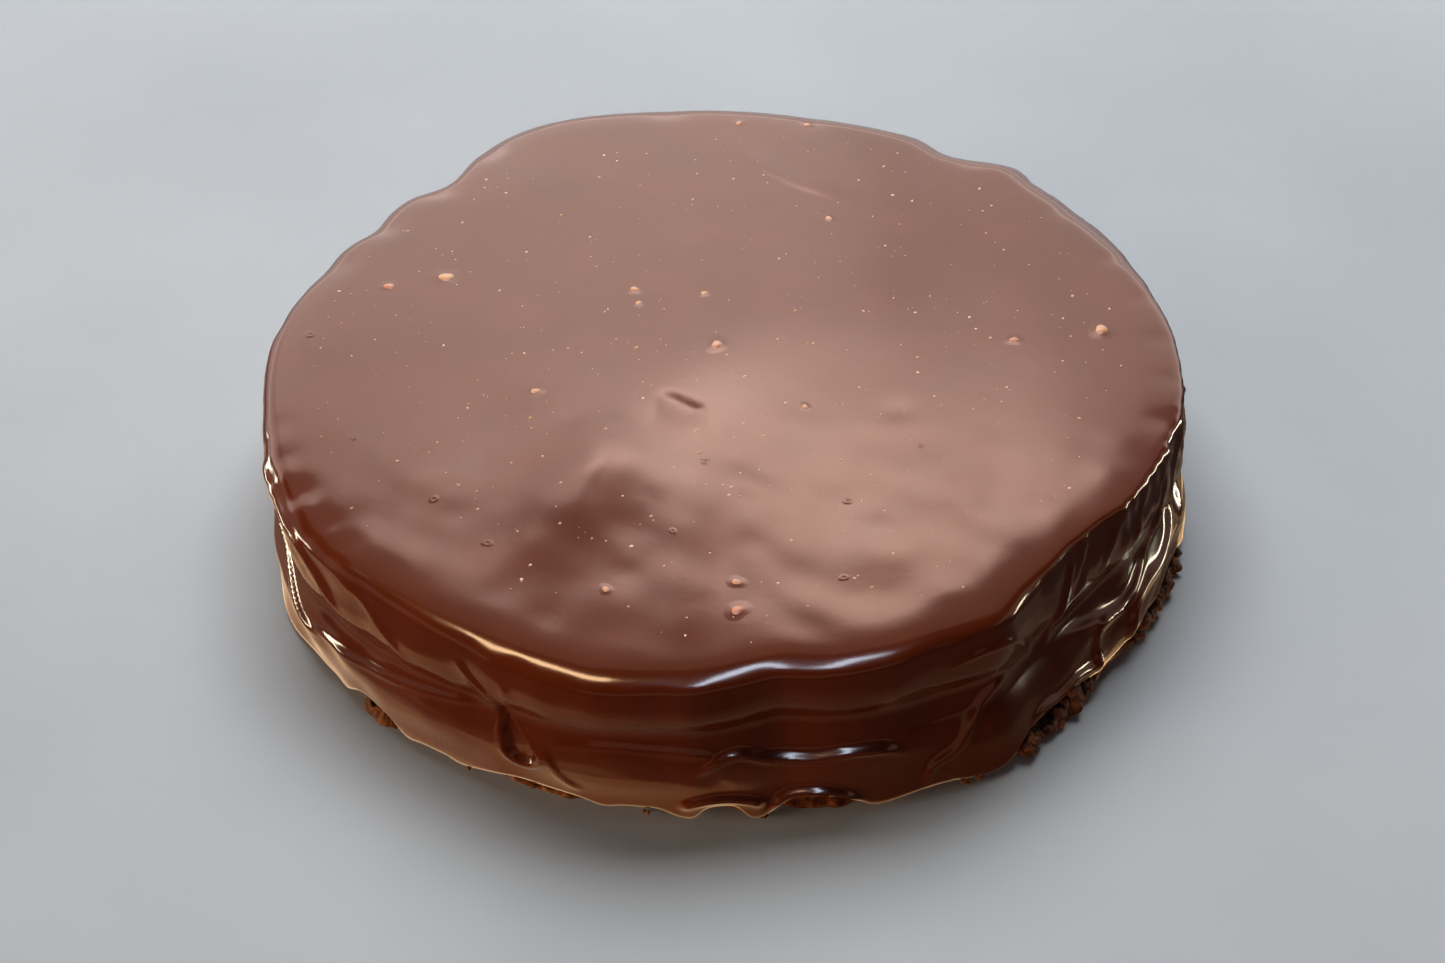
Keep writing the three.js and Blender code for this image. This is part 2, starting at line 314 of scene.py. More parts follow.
# Long shallow folds in which the glaze hangs: azimuth, half width in degrees, height, and how steeply they
# rise towards larger azimuths.
DRAPES = [
    (-24, 24, 0.34, 0.22), (-158, 22, 0.30, -0.22), (-62, 14, 0.12, 0.1), (-96, 14, 0.08, 0),
    (-125, 14, 0.1, -0.1), (30, 22, 0.25, -0.2), (75, 22, 0.25, 0.15), (120, 22, 0.25, -0.15),
    (165, 18, 0.25, 0.2),
]
DRAPE_LENGTH = 10  # the wavelength upwards
DRAPE_STRETCH = 0.28  # and its share of the wavelength along the wall
DRAPE_FADE = (36, 46)  # the heights between which they grow weaker
DRAPE_FADED = 0.7  # and how much weaker they are above


def drape_relief(azimuth, z):
    relief = 0
    for at, wide, out, rise in DRAPES:
        turn = turn_between(azimuth, at)
        along = arc_length(turn)
        places = np.column_stack([along * DRAPE_STRETCH, z - rise * along, np.full(len(z), at)])
        relief = relief + out * bell(turn, wide) * ripples(places, DRAPE_LENGTH, seed=7)
    return relief * (1 - DRAPE_FADED * smoothstep(z, *DRAPE_FADE))


# Fine upright ripples where the glaze ran over the rim: azimuth, half width in degrees and height.
FLUTES = [(-22, 20, 0.20), (-160, 14, 0.12), (40, 16, 0.14), (100, 20, 0.14)]
FLUTE_LENGTH = 6  # the wavelength along the wall
FLUTE_STRETCH = 0.15  # and its share of the wavelength upwards
FLUTE_GROWTH = (26, 40)  # the heights between which they grow


def flute_relief(azimuth, z):
    places = np.column_stack([arc_length(azimuth), z * FLUTE_STRETCH, np.zeros(len(z))])
    return sum_bells(azimuth, FLUTES) * smoothstep(z, *FLUTE_GROWTH) * ripples(places, FLUTE_LENGTH, seed=12)


# Soft unevenness of the whole wall: height, wavelength and seed.
WALL_RIPPLES = [(0.12, 30, 3), (0.04, 12, 4)]


def wall_relief(azimuth, z, points):
    """How far the glaze stands out from its plain section."""
    sway = CREASE_SWAY * np.sin(CREASE_WAVES * np.radians(azimuth))
    relief = sum(out * bell(z - middle - sway, high) for middle, high, out in BANDS)
    for fold in FOLDS + back_folds():
        relief = relief + fold_height(azimuth, z, **fold)
    relief = relief + tear_relief(azimuth, z) + drape_relief(azimuth, z) + drops_relief(azimuth, z)
    relief = relief + flute_relief(azimuth, z)
    for out, length, seed in WALL_RIPPLES:
        relief = relief + out * ripples(points, length, seed)
    return relief


# ---------------- relief of the top

# Low swells and hollows: place, half width, half depth towards the front and towards the back, and height.
TOP_SWELLS = [
    (-32, -49, 17, 17, 60, 1.3), (-41, -65, 13, 15, 28, 0.8), (-51, -77, 10, 12, 20, 0.35),
    (-54, -24, 9, 9, 9, 0.1), (-84, -50, 11, 11, 11, 0.22), (4, -66, 15, 15, 15, 0.2),
    (66, -100, 8, 8, 8, -0.12), (42, -104, 10, 10, 10, -0.2), (-20, -104, 10, 10, 10, -0.16),
    (-64, 88, 16, 16, 16, 0.3), (80, 72, 24, 24, 24, 0.2),
]
SWELL_FAN = 0.012  # how much wider a swell is behind its middle, times the square of the distance

# Small lumps and hollows of the front half: how many, their x, y and half width, and their height as a share
# of the half width.
SMALL_SWELL_COUNT = 46
SMALL_SWELL_X = (-105, 75)
SMALL_SWELL_Y = (-112, -28)
SMALL_SWELL_WIDE = (2.6, 6)
SMALL_SWELL_UP = (0.006, 0.012)

# The short dent near the middle and the faint wave near the back: the line of each, how far up it stands, and
# its half widths towards the front and towards the back.
TOP_LINES = [
    dict(path=[(-19, -20.4), (-15, -20.9), (-10.5, -23.8), (-6, -26.6), (-2.5, -27.2)],
         up=-0.26, front=8, back=2.7),
    dict(path=[(12, 113), (16, 100), (26, 89), (36, 81.5), (49, 71.5)], up=0.22, front=2, back=5),
]
TOP_LINE_FADE = 0.35  # over this share of its length a line fades at each end

# Hollows along the rim: azimuth, half width in degrees and depth.
RIM_DIMPLES = [
    (-169.8, 2.0, 0.10), (-162.9, 2.0, 0.14), (-155.8, 2.3, 0.5), (-148.6, 2.2, 0.55), (-143.8, 2.0, 0.5),
    (-137, 3.2, 0.36), (-1.5, 1.7, 0.14), (-9.5, 1.6, 0.08), (-18, 1.8, 0.1), (7.5, 1.6, 0.14),
    (17, 1.8, 0.3), (30, 2.2, 0.3), (47, 2.4, 0.34), (74, 2.5, 0.2), (95, 3.0, 0.24), (121, 2.6, 0.4),
    (133, 2.6, 0.35), (144, 2.6, 0.35), (154, 3.0, 0.3),
]
DIMPLE_FROM_RIM = 4.5  # how far in from the wall they are deepest
DIMPLE_WIDE = 5  # and their half width from there

# Where the top falls away towards the wall: azimuth, half width in degrees, how far down.
SHOULDERS = [(-57, 9, 1.2), (-20, 14, 0.1), (-112, 11, 0.45), (178, 20, 0.3)]
SHOULDER_DOWN = 0.5  # how far down it falls everywhere
SHOULDER_ACROSS = 13  # and how far in from the wall that slope starts
SHOULDER_SPREAD = 3  # how much wider the slope is for each millimetre that it drops

# Soft unevenness: height everywhere, how much more towards the front, wavelength and seed.
TOP_RIPPLES = [(0.008, 0.045, 34, 5), (0, 0.026, 15, 6)]
TOWARDS_FRONT = (20, 80)  # how far in front of the middle it starts to grow, and where it is greatest


def shoulder_drop(azimuth, radius):
    down = SHOULDER_DOWN + sum_bells(azimuth, SHOULDERS)
    across = SHOULDER_ACROSS + SHOULDER_SPREAD * (down - SHOULDER_DOWN)
    return down * np.clip(1 - (RADIUS - radius) / across, 0, 1) ** 2


def small_swells(seed=17):
    """Small lumps and hollows drawn by a seeded rule, listed as TOP_SWELLS are."""
    draw = np.random.default_rng(seed)
    swells = []
    for _ in range(SMALL_SWELL_COUNT):
        wide = draw.uniform(*SMALL_SWELL_WIDE)
        up = draw.choice([-1, 1]) * draw.uniform(*SMALL_SWELL_UP) * wide
        swells.append((draw.uniform(*SMALL_SWELL_X), draw.uniform(*SMALL_SWELL_Y), wide, wide, wide, up))
    return swells


def swell_height(x, y, at_x, at_y, wide, front, back, up):
    """One swell, which fans out towards the back."""
    side = wide + SWELL_FAN * np.maximum(y - at_y, 0) ** 2
    depth = np.where(y > at_y, back, front)
    return up * bell(np.hypot((x - at_x) / side, (y - at_y) / depth), 1)


def line_height(x, y, path, up, front, back):
    """A line that is steeper on one side than on the other."""
    distance, side, along = beside_path(x, y, smooth_path(path))
    return up * bell(distance, np.where(side > 0, back, front)) * fade_ends(along, TOP_LINE_FADE)


def top_relief(x, y):
    """How far the top stands above its plain height."""
    relief = sum(line_height(x, y, **line) for line in TOP_LINES)
    for swell_values in TOP_SWELLS + small_swells():
        relief = relief + swell_height(x, y, *swell_values)
    azimuth = np.degrees(np.arctan2(y, x))
    radius = np.hypot(x, y)
    relief = relief - sum_bells(azimuth, RIM_DIMPLES) * bell(RADIUS - radius - DIMPLE_FROM_RIM, DIMPLE_WIDE)
    relief = relief - shoulder_drop(azimuth, radius)
    points = np.column_stack([x, y, np.zeros(len(x))])
    towards_front = smoothstep(-y, *TOWARDS_FRONT)
    for everywhere, more, length, seed in TOP_RIPPLES:
        relief = relief + (everywhere + more * towards_front) * ripples(points, length, seed)
    return relief


# ---------------- the lower edge and the outline

# Where the glaze's lower edge broke away: azimuth, half width, how far up.
BREAKS = [
    (-137, 4.5, 5.0), (-127, 3, 1.2), (-113, 8, 4.0), (-101, 3.4, 2.6), (-91.9, 2.6, 5.0),
    (-81.4, 4.6, 7.2), (-68, 5, 1.2), (-51, 8, 6.5), (-38, 6, 3.5), (-27, 9, 7.5), (24, 6, 4), (76, 5, 5),
    (136, 6, 4.5), (172, 4, 3),
]
# Where crumb stands out under such a break: azimuth, half width, how far.
SKIRTS = [(-49, 8, 3), (-27, 9, 2.8), (-137, 5, 4.6), (-112, 9, 3.2)]


def lip_rise(azimuth):
    """How far up the glaze's lower edge lies. Each break has a flat top and steep ends."""
    return sum(up * np.exp(-(turn_between(azimuth, at) / wide) ** 4) for at, wide, up in BREAKS)


def raised(azimuth, z):
    """Heights on the wall once its lower edge is drawn up, less and less towards the top of the foot."""
    return z + lip_rise(azimuth) * np.clip((FOOT - z) / (FOOT - LIP), 0, 1)


def swell(azimuth, z):
    """How far the wall stands out from a plain round one."""
    flare = FOOT_FLARE + sum_bells(azimuth, FOOT_SPREADS)
    lean = sum_bells(azimuth, LEANS) * z / HEIGHT
    return sum_bells(azimuth, OUTLINE) + flare * np.maximum(0, 1 - z / FOOT) - lean


def scallops(azimuth):
    angle = np.radians(azimuth)
    return sum(out * np.sin(waves * angle + phase) for waves, out, phase in SCALLOP_WAVES)


def rim_height(azimuth, radius, z):
    """The height of the rounded top edge, which is tighter on some sides, and any other height as it is."""
    across = RIM_ACROSS - sum_bells(azimuth, TIGHT_RIMS)
    part = np.clip((radius - RADIUS + across) / across, 0, 1)
    square = 2 + sum_bells(azimuth, SQUARE_RIMS)
    rounded = HEIGHT - RIM_HIGH * (1 - (1 - part ** square) ** (1 / square))
    outer_face = (radius > INNER_RADIUS) | (z > INNER_TOP)
    over_rim = (radius > RADIUS - RIM_ACROSS) & (z > HEIGHT - RIM_HIGH) & outer_face
    return np.where(over_rim, rounded, z)


def uneven(azimuth, radius, z):
    """Places of the glaze's points once the outline, the folds and the top's swells have moved them."""
    z = rim_height(azimuth, radius, z)
    x = radius * np.cos(np.radians(azimuth))
    y = radius * np.sin(np.radians(azimuth))
    near_wall = smoothstep(radius, 0, RADIUS - RIM - COAT)
    outside = smoothstep(radius, RADIUS - COAT, RADIUS)
    over_wall = smoothstep(z, HEIGHT - RIM, HEIGHT)
    relief = wall_relief(azimuth, z, np.column_stack([x, y, z]))
    moved = radius + near_wall * (swell(azimuth, z) + outside * (relief + scallops(azimuth)))
    scale = np.where(radius > 0, moved / np.where(radius > 0, radius, 1), 1)
    return np.column_stack([x * scale, y * scale, z + over_wall * top_relief(x, y)])


# ---------------- meshes

def add_mesh(name, points, faces):
    """One smooth mesh object of points in millimetres about the cake's axis."""
    mesh = bpy.data.meshes.new(name)
    mesh.from_pydata((np.asarray(points) + AXIS) * MM, [], faces)
    mesh.update()
    mesh.shade_smooth()
    piece = bpy.data.objects.new(name, mesh)
    bpy.context.scene.collection.objects.link(piece)
    return piece


def ring_faces(first, second, count):
    """Quads between two rings of vertices that start at these indices."""
    here = np.arange(count)
    onward = (here + 1) % count
    return np.column_stack([first + here, first + onward, second + onward, second + here]).tolist()


def fan_faces(ring, middle, count, upward):
    """Triangles between a ring of vertices and one in its middle."""
    here = np.arange(count)
    onward = (here + 1) % count
    pair = [ring + here, ring + onward] if upward else [ring + onward, ring + here]
    return np.column_stack(pair + [np.full(count, middle)]).tolist()


def disc_ring_faces(outer, ring, inner):
    """Triangles between a ring of 6 * ring points and the next one in, of six fewer."""
    faces = []
    outer_count, inner_count = 6 * ring, max(6 * (ring - 1), 1)
    for sector in range(6):
        for step in range(ring):
            a = outer + (sector * ring + step) % outer_count
            b = outer + (sector * ring + step + 1) % outer_count
            c = inner + (sector * (ring - 1) + step) % inner_count
            faces.append((a, b, c))
            if step < ring - 1:
                d = inner + (sector * (ring - 1) + step + 1) % inner_count
                faces.append((c, b, d))
    return faces


# ---------------- the coat of glaze

TOP_RINGS = 104
AROUND = 6 * TOP_RINGS
WALL_RINGS = 70
RIM_RINGS = 14
LIP_RINGS = 5
INNER_RIM_RINGS = 4
DENSE_FRONT = -78  # the azimuth at which the points stand closest
DENSE_CROWD = 0.55  # and how much closer than evenly, as a share


def front_dense_azimuths(count):
    """Azimuths round the cake, closer together about the front."""
    turn = np.arange(count) / count
    return DENSE_FRONT + 360 * turn - np.degrees(DENSE_CROWD) * np.sin(2 * math.pi * turn)


def coat_profile():
    """Radius and height from inside the cap, round the lower lip and up to the rim's inner end."""
    points = [(RADIUS - RIM, INNER_TOP)]
    inner_rim = RIM - COAT
    for step in range(1, INNER_RIM_RINGS):
        angle = math.pi / 2 * (1 - step / INNER_RIM_RINGS)
        inward = inner_rim * (1 - math.cos(angle))
        points.append((INNER_RADIUS - inward, HEIGHT - RIM + inner_rim * math.sin(angle)))
    lip = COAT / 2
    foot = LIP + lip
    points += [(INNER_RADIUS, z) for z in (HEIGHT - RIM, FOOT, FOOT / 2, foot)]
    for step in range(1, LIP_RINGS):
        angle = math.pi * step / LIP_RINGS
        points.append((RADIUS - lip - lip * math.cos(angle), LIP + lip * (1 - math.sin(angle))))
    points += [(RADIUS, foot + (HEIGHT - RIM_HIGH - foot) * step / WALL_RINGS) for step in range(WALL_RINGS)]
    for step in range(RIM_RINGS + 1):
        angle = math.pi / 2 * step / RIM_RINGS
        inward = RIM_ACROSS * (1 - math.cos(angle))
        points.append((RADIUS - inward, HEIGHT - RIM_HIGH * (1 - math.sin(angle))))
    return points


def top_rings(start):
    """The top's rings, each of six points fewer than the one round it: azimuths, radii and first indices."""
    starts = {TOP_RINGS: start - AROUND}
    azimuths, radii = [], []
    for ring in range(TOP_RINGS - 1, 0, -1):
        starts[ring] = start
        azimuths.append(front_dense_azimuths(6 * ring))
        radii.append(np.full(6 * ring, (RADIUS - RIM_ACROSS) * ring / TOP_RINGS))
        start += 6 * ring
    starts[0] = start
    return np.concatenate(azimuths), np.concatenate(radii), starts


def make_glaze():
    """The closed cap: the profile's rings, the top's rings down to its middle, and the middle underneath."""
    profile = coat_profile()
    top_azimuth, top_radius, starts = top_rings(len(profile) * AROUND)
    faces = []
    for ring in range(len(profile) - 1):
        faces += ring_faces(ring * AROUND, (ring + 1) * AROUND, AROUND)
    for ring in range(TOP_RINGS, 0, -1):
        faces += disc_ring_faces(starts[ring], ring, starts[ring - 1])
    faces += fan_faces(0, starts[0] + 1, AROUND, upward=False)
    azimuth = np.tile(front_dense_azimuths(AROUND), len(profile))
    radius = np.repeat([out for out, _ in profile], AROUND)
    height = np.repeat([up for _, up in profile], AROUND)
    azimuth = np.concatenate([azimuth, top_azimuth, [0, 0]])
    radius = np.concatenate([radius, top_radius, [0, 0]])
    height = np.concatenate([height, np.full(len(top_radius) + 1, HEIGHT), [INNER_TOP]])
    return add_mesh("glaze_coat", uneven(azimuth, radius, raised(azimuth, height)), faces)


# ---------------- what the air in the glaze left on the top

# Blisters: place on the top and radius.
BLISTERS = [
    (-81.9, 44.6, 2.4), (-99.4, 41.4, 1.7), (0.5, 3.4, 1.9), (-23.7, 33.4, 1.4), (-22.5, 26.2, 1.0),
    (-2.4, 29.5, 1.1), (-52.7, -14.5, 1.4), (114.2, 1.8, 2.2), (88, -0.9, 1.4), (37.9, 66, 1.2),
    (11.9, 124.1, 1.3), (34.5, 121.4, 1.2), (2.3, -108.8, 1.8), (2.4, -98.2, 1.3), (24.8, -27.1, 1.0),
    (-32, -98.5, 1.1),
]
# The sections of a blister and of the collar of glaze round it, from outside in: radius and height, as shares
# of the blister's radius.
BLISTER_SHAPE = [(0.95, -0.03), (0.88, 0.06), (0.76, 0.14), (0.60, 0.20), (0.42, 0.24), (0.22, 0.26)]
COLLAR_SHAPE = [
    (2.4, -0.01), (2.0, 0.004), (1.6, 0.014), (1.3, 0.025), (1.05, 0.04), (0.8, 0.05), (0.5, 0.05),
]

# The soft dimples that burst bubbles left: place and radius. Their section is written like a blister's.
PITS = [
    (-4.4, -49.1, 0.7), (-64.1, -78.1, 0.8), (-79.6, -59, 0.8), (33.8, -68.4, 0.7), (30.6, -98.4, 0.7),
    (-121.5, 18.9, 0.9), (-104, -31, 0.5), (-61, -5, 0.5), (56, -47, 0.5), (-14, -77, 0.6),
]
PIT_SHAPE = [
    (2.4, -0.01), (2.0, 0.01), (1.6, 0.03), (1.3, 0.05), (1.05, 0.06), (0.8, 0.05), (0.55, 0.03),
    (0.3, 0.015),
]

# Specks of set air: their section, how many, and the smallest and largest radius.
SPECK_SHAPE = [(1.0, -0.05), (0.8, 0.25), (0.4, 0.45)]
SPECK_COUNT = 430
SPECK_SMALL = 0.16
SPECK_LARGE = 0.55
SPECK_RARITY = 3.2  # the larger, the fewer large specks
SPECK_MARGIN = 4  # how far in from the rim's rounding the outermost specks lie

# How far the forms on the top are from round, with two lobes and with three.
DOME_OVAL = 0.12
DOME_THREE_LOBED = 0.6 * DOME_OVAL


def on_top(x, y):
    """Points of the glaze's top above these places."""
    azimuth = np.degrees(np.arctan2(y, x))
    radius = np.hypot(x, y)
    unmoved = radius - smoothstep(radius, 0, RADIUS - RIM - COAT) * swell(azimuth, np.full(len(x), HEIGHT))
    return uneven(azimuth, unmoved, np.full(len(x), float(HEIGHT)))


def make_domes(name, places, shape, sides, seed=8):
    """Small roundish forms on the top, each with rings of the shape's relative radii and heights."""
    draw = np.random.default_rng(seed)
    turns = 2 * math.pi * np.arange(sides) / sides
    x, y, lift, faces = [], [], [], []
    for at_x, at_y, size in places:
        start = len(x)
        first, second = draw.uniform(0, 2 * math.pi, 2)
        lobes = DOME_OVAL * np.sin(2 * turns + first) + DOME_THREE_LOBED * np.sin(3 * turns + second)
        edge = size * (1 + lobes)
        for out, up in shape:
            x.extend(at_x + out * edge * np.cos(turns))
            y.extend(at_y + out * edge * np.sin(turns))
            lift.extend([size * up] * sides)
        x.append(at_x)
        y.append(at_y)
        lift.append(size * shape[-1][1])
        for ring in range(len(shape) - 1):
            faces += ring_faces(start + ring * sides, start + (ring + 1) * sides, sides)
        faces += fan_faces(start + (len(shape) - 1) * sides, len(x) - 1, sides, upward=True)
    points = on_top(np.array(x), np.array(y))
    points[:, 2] += lift
    return add_mesh(name, points, faces)


def speck_places(seed=5):
    """Places and radii of the specks, drawn by a seeded rule."""
    draw = np.random.default_rng(seed)
    radius = (RADIUS - RIM_ACROSS - SPECK_MARGIN) * np.sqrt(draw.uniform(0, 1, SPECK_COUNT))
    angle = draw.uniform(0, 2 * math.pi, SPECK_COUNT)
    size = SPECK_SMALL + (SPECK_LARGE - SPECK_SMALL) * draw.uniform(0, 1, SPECK_COUNT) ** SPECK_RARITY
    return np.column_stack([radius * np.cos(angle), radius * np.sin(angle), size]).tolist()


# ---------------- the sponge

# Hollows where the crumb fell out under the glaze: azimuth, height, half width and depth in millimetres.
HOLLOWS = [
    (-91.9, 1.5, 5, 3.5), (-85.2, 2.5, 3.0, 6), (-76.6, 2.5, 2.6, 6), (-104.5, 1.0, 4.5, 4),
    (-58, 2.5, 2.6, 5), (-49.5, 5.2, 3.4, 7), (-35.5, 6.5, 2.4, 5), (-28.5, 6.0, 5.0, 8), (-20, 6.5, 3.0, 5),
    (24, 3, 5, 6), (76, 3.5, 6, 7), (136, 3, 5, 6), (172, 2, 4, 5),
]
HOLLOW_FLAT = 1.4  # how many times as wide as high they are

# The broken crumb of the foot.
CRUMB_AROUND = 1440  # points in a ring
CRUMB_STEP = 0.6  # the height from ring to ring
CRUMB_HIGH = 14  # how high the crumb reaches
CRUMB_FADE = 4  # and over how much of that it fades
CRUMB_INSET = 0.5  # how far in it lies from the sponge's plain wall
CRUMB_LUMPS = [(0.5, 9, 21, 16), (0.35, 4.5, 22, 24)]  # height, wavelength, seed and number of waves
PORE_DEEP = 0.9
PORE_LENGTH = 3.4  # the wavelength of their random field
PORE_LEVELS = (0.5, 1.5)  # its levels at which pores begin and are deepest
FLOOR_ROUGH = 0.35  # how rough the crumb still is where it stands on the floor
FLOOR_ROUGH_HIGH = 2  # and how far up it is fully rough
SKIRT_EDGE = (SKIRT - 1.5, SKIRT + 0.5)  # the heights between which a skirt ends, and the lip lays it bare
BARE_FROM = 0.1  # crumb stands out only where it is at least this far laid bare, from 0 to 1

# The hidden top edge of the sponge: how far under the glaze's rounding it starts, and one point of its bevel.
EDGE_UNDER = 1
EDGE_IN = 2
EDGE_DOWN = 1.6


def crumb_relief(azimuth, z, points):
    """Lumps and pores of the broken sponge, and the hollows where more of it fell out."""
    lumps = sum(out * ripples(points, length, seed, waves) for out, length, seed, waves in CRUMB_LUMPS)
    pores = smoothstep(ripples(points, PORE_LENGTH, seed=23, waves=32), *PORE_LEVELS)
    hollow = 0
    for at, up, wide, deep in HOLLOWS:
        away = np.hypot(arc_length(turn_between(azimuth, at)), (z - up) * HOLLOW_FLAT)
        hollow = hollow + deep * bell(away, wide)
    rough = FLOOR_ROUGH + (1 - FLOOR_ROUGH) * smoothstep(z, 0, FLOOR_ROUGH_HIGH)
    return (lumps - PORE_DEEP * pores) * rough - CRUMB_INSET - hollow


def sponge_profile():
    """Radius and height up the wall, in fine steps where crumb shows, and over the top edge."""
    radius = INNER_RADIUS - GAP
    top = INNER_TOP - GAP
    profile = [(radius, z) for z in np.arange(0, CRUMB_HIGH, CRUMB_STEP)]
    profile += [(radius, z) for z in (FOOT, HEIGHT - RIM - EDGE_UNDER)]
    return profile + [(radius - EDGE_IN, top - EDGE_DOWN), (RADIUS - RIM, top)]


def make_sponge():
    """The closed sponge, with broken crumb at its foot."""
    profile = sponge_profile()
    azimuth = np.tile(360 * np.arange(CRUMB_AROUND) / CRUMB_AROUND, len(profile))
    radius = np.repeat([out for out, _ in profile], CRUMB_AROUND)
    z = np.repeat([up for _, up in profile], CRUMB_AROUND)
    x = radius * np.cos(np.radians(azimuth))
    y = radius * np.sin(np.radians(azimuth))
    shown = 1 - smoothstep(z, CRUMB_HIGH - CRUMB_FADE, CRUMB_HIGH)
    bare = smoothstep(lip_rise(azimuth), *SKIRT_EDGE)
    skirt = bare * sum_bells(azimuth, SKIRTS) * (1 - smoothstep(z, *SKIRT_EDGE))
    rough = crumb_relief(azimuth, z, np.column_stack([x, y, z])) * shown
    rough = np.where(bare > BARE_FROM, rough, np.minimum(rough, 0))
    moved = radius + swell(azimuth, z) + skirt + rough
    points = np.column_stack([x * moved / radius, y * moved / radius, z])
    faces = []
    for ring in range(len(profile) - 1):
        faces += ring_faces(ring * CRUMB_AROUND, (ring + 1) * CRUMB_AROUND, CRUMB_AROUND)
    last = (len(profile) - 1) * CRUMB_AROUND
    faces += fan_faces(0, len(points), CRUMB_AROUND, upward=False)
    faces += fan_faces(last, len(points) + 1, CRUMB_AROUND, upward=True)
    points = np.vstack([points, [0, 0, 0], [0, 0, profile[-1][1]]])
    return add_mesh("sponge_crumb", points, faces)


# Crumbs that cling to the foot: from azimuth, to azimuth, how many, and the smallest and largest radius.
CRUMB_RUNS = [
    (-140, -133, 9, 0.9, 2.2), (-124, -98, 9, 0.4, 0.8), (-88.6, -87, 2, 0.9, 1.3),
    (-65, -61, 6, 0.8, 1.6), (-57, -44, 26, 0.9, 2.8), (-35, -19, 26, 0.9, 2.6), (20, 28, 8, 0.7, 1.8),
    (72, 80, 8, 0.7, 1.8), (132, 140, 8, 0.7, 1.8),
]
CRUMB_UNDER = 2.6  # how far inside the foot's outermost line their middles lie
CRUMB_SCATTER = 1  # and how far they may be from there
CRUMB_LUMP = 0.2  # the height of a crumb's lumps, as a share of its radius
CRUMB_LUMP_LENGTH = 1.3  # and their wavelength
CRUMB_STRETCH = (0.75, 1.2)  # the least and the most that a crumb is stretched in each direction
CRUMB_CLIMB = 0.5  # the highest of them cling this far up to the broken edge, as a share


def unit_ball():
    """Points and triangles of a ball of radius 1."""
    ball = bmesh.new()
    bmesh.ops.create_icosphere(ball, subdivisions=3, radius=1)
    points = np.array([vertex.co for vertex in ball.verts])
    faces = np.array([[vertex.index for vertex in face.verts] for face in ball.faces])
    ball.free()
    return points, faces


def make_crumbs(seed=31):
    """Lumpy bits of sponge along the foot, drawn by a seeded rule."""
    draw = np.random.default_rng(seed)
    ball_points, ball_faces = unit_ball()
    points, faces = [], []
    for start, end, count, small, large in CRUMB_RUNS:
        for _ in range(count):
            azimuth = draw.uniform(start, end)
            size = small + (large - small) * draw.uniform() ** 2
            lumps = ripples(ball_points + draw.uniform(0, 50, 3), CRUMB_LUMP_LENGTH, seed=41)
            crumb = ball_points * (1 + CRUMB_LUMP * lumps)[:, None] * size * draw.uniform(*CRUMB_STRETCH, 3)
            out = RADIUS + swell(azimuth, 0) - CRUMB_UNDER + draw.uniform(-CRUMB_SCATTER, CRUMB_SCATTER)
            up = -crumb[:, 2].min() + draw.uniform(0, 1) * lip_rise(azimuth) * CRUMB_CLIMB
            angle = math.radians(azimuth)
            faces.append(ball_faces + len(points) * len(ball_points))
            points.append(crumb + [out * math.cos(angle), out * math.sin(angle), up])
    return add_mesh("sponge_crumbs", np.vstack(points), np.vstack(faces).tolist())


# ---------------- materials

class Nodes:
    """Short calls for building a material's node tree."""

    def __init__(self, name):
        self.material = bpy.data.materials.new(name)
        self.material.use_nodes = True
        self.tree = self.material.node_tree
        self.shader = self.tree.nodes["Principled BSDF"]
        self.place = self.add("ShaderNodeTexCoord").outputs["Object"]

    def add(self, kind, **settings):
        node = self.tree.nodes.new(kind)
        for key, value in settings.items():
            setattr(node, key, value)
        return node

    def join(self, source, target):
        self.tree.links.new(source, target)

    def noise(self, scale, detail=3, roughness=0.5):
        node = self.add("ShaderNodeTexNoise")
        node.inputs["Scale"].default_value = scale
        node.inputs["Detail"].default_value = detail
        node.inputs["Roughness"].default_value = roughness
        self.join(self.place, node.inputs["Vector"])
        return node.outputs["Fac"]

    def ramp(self, factor, stops):
        node = self.add("ShaderNodeValToRGB")
        elements = node.color_ramp.elements
        while len(elements) < len(stops):
            elements.new(0.5)
        for element, (position, colour) in zip(elements, stops):
            element.position = position
            element.color = (*colour, 1)
        self.join(factor, node.inputs["Fac"])
        return node.outputs["Color"]

    def span(self, factor, low, high, from_low=0.3, from_high=0.7):
        node = self.add("ShaderNodeMapRange")
        values = {"From Min": from_low, "From Max": from_high, "To Min": low, "To Max": high}
        for key, value in values.items():
            node.inputs[key].default_value = value
        self.join(factor, node.inputs["Value"])
        return node.outputs["Result"]

    def mix(self, factor, first, second):
        node = self.add("ShaderNodeMix", data_type="RGBA")
        self.join(factor, node.inputs["Factor"])
        self.join(first, node.inputs["A"])
        node.inputs["B"].default_value = (*second, 1)
        return node.outputs["Result"]

    def bump(self, height, distance):
        node = self.add("ShaderNodeBump")
        node.inputs["Distance"].default_value = distance
        node.inputs["Strength"].default_value = 1
        self.join(height, node.inputs["Height"])
        self.join(node.outputs["Normal"], self.shader.inputs["Normal"])


